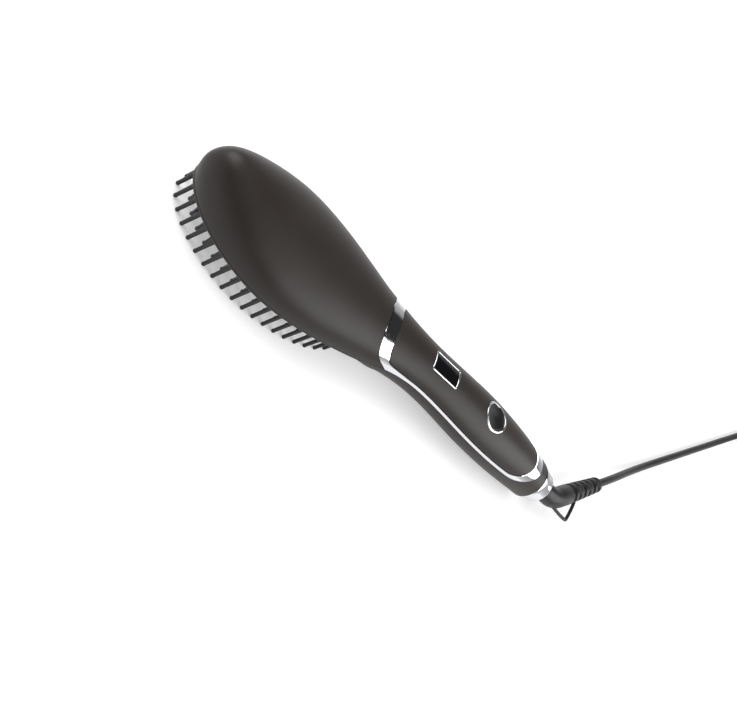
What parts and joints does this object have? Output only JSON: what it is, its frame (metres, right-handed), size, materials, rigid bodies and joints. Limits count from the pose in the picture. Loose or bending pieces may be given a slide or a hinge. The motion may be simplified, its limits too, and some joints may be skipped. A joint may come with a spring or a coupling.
{
  "type": "heated styling brush",
  "caption": "Hand-held heated hair-straightening brush with an oval pin head, heated teeth, display, push button and swivel mains cord.",
  "frame": {"origin": "middle of the brush from head tip to tail ring, on its symmetry plane, at the surface that it lies on", "axes": "+X from the head towards the cord, +Z out of the back with display and button, +Y to the left when seen from the head towards the cord"},
  "size_m": [0.7233, 0.3785, 0.0428],
  "materials": {
    "shell": "soft-touch coated ABS",
    "black_plastic": "moulded black nylon",
    "coated_casting": "die-cast aluminium with a dark glossy ceramic coating",
    "chrome": "chrome-plated ABS",
    "lens": "tinted acrylic",
    "steel": "zinc-plated steel",
    "brass": "stamped or turned, bare",
    "plated_brass": "nickel-plated brass",
    "board": "glass-filled epoxy laminate with solder mask",
    "heater_ceramic": "fired alumina",
    "mica": "pressed mica sheet",
    "silicone": "silicone insulation",
    "cord_jacket": "soft PVC, satin",
    "capacitor_can": "sleeved aluminium can"
  },
  "bodies": {
    "brush": {"back_cover": "shell", "front_shell": "shell", "handle_cover": "shell", "chrome_trim": "chrome", "display_bezel": "chrome", "button_ring": "chrome", "tail_ring": "chrome", "case_screw_1": "steel", "case_screw_2": "steel", "case_screw_3": "steel", "case_screw_4": "steel", "heater_strap": "steel", "strap_screw_1": "steel", "strap_screw_2": "steel", "thermal_fuse": "steel", "display_lens": "lens", "tact_switch": "black_plastic", "pin_frame": "black_plastic", "display_module": "black_plastic", "triac": "black_plastic", "contact_holder": "black_plastic", "heater_plate": "coated_casting", "heater_element": "heater_ceramic", "thermistor": "heater_ceramic", "insulating_sheet": "mica", "circuit_board": "board", "capacitor": "capacitor_can", "contact_spring_1": "brass", "contact_spring_2": "brass", "heater_lead_1": "silicone", "heater_lead_2": "silicone", "supply_lead_1": "silicone", "supply_lead_2": "silicone"},
    "button": {"button_cap": "black_plastic", "switch_plunger": "black_plastic"},
    "cord": {"swivel_boot": "cord_jacket", "swivel_spindle": "black_plastic", "slip_ring_1": "brass", "slip_ring_2": "brass", "cord_run": "cord_jacket", "cord_coil": "cord_jacket", "cord_tie": "cord_jacket", "cord_tail": "cord_jacket", "plug_body": "cord_jacket", "plug_pin_1": "plated_brass", "plug_pin_2": "plated_brass"}
  },
  "joints": [
    {"name": "power_button", "type": "slide", "parent": "brush", "child": "button", "axis": [0.0449, 0, 0.999], "range_m": [-0.0005, 0], "stiffness_N_per_m": 600},
    {"name": "cord_swivel", "type": "hinge", "parent": "brush", "child": "cord", "pos_m": [0.14, 0, 0.0131], "axis": [1, 0, 0], "continuous": true}
  ]
}
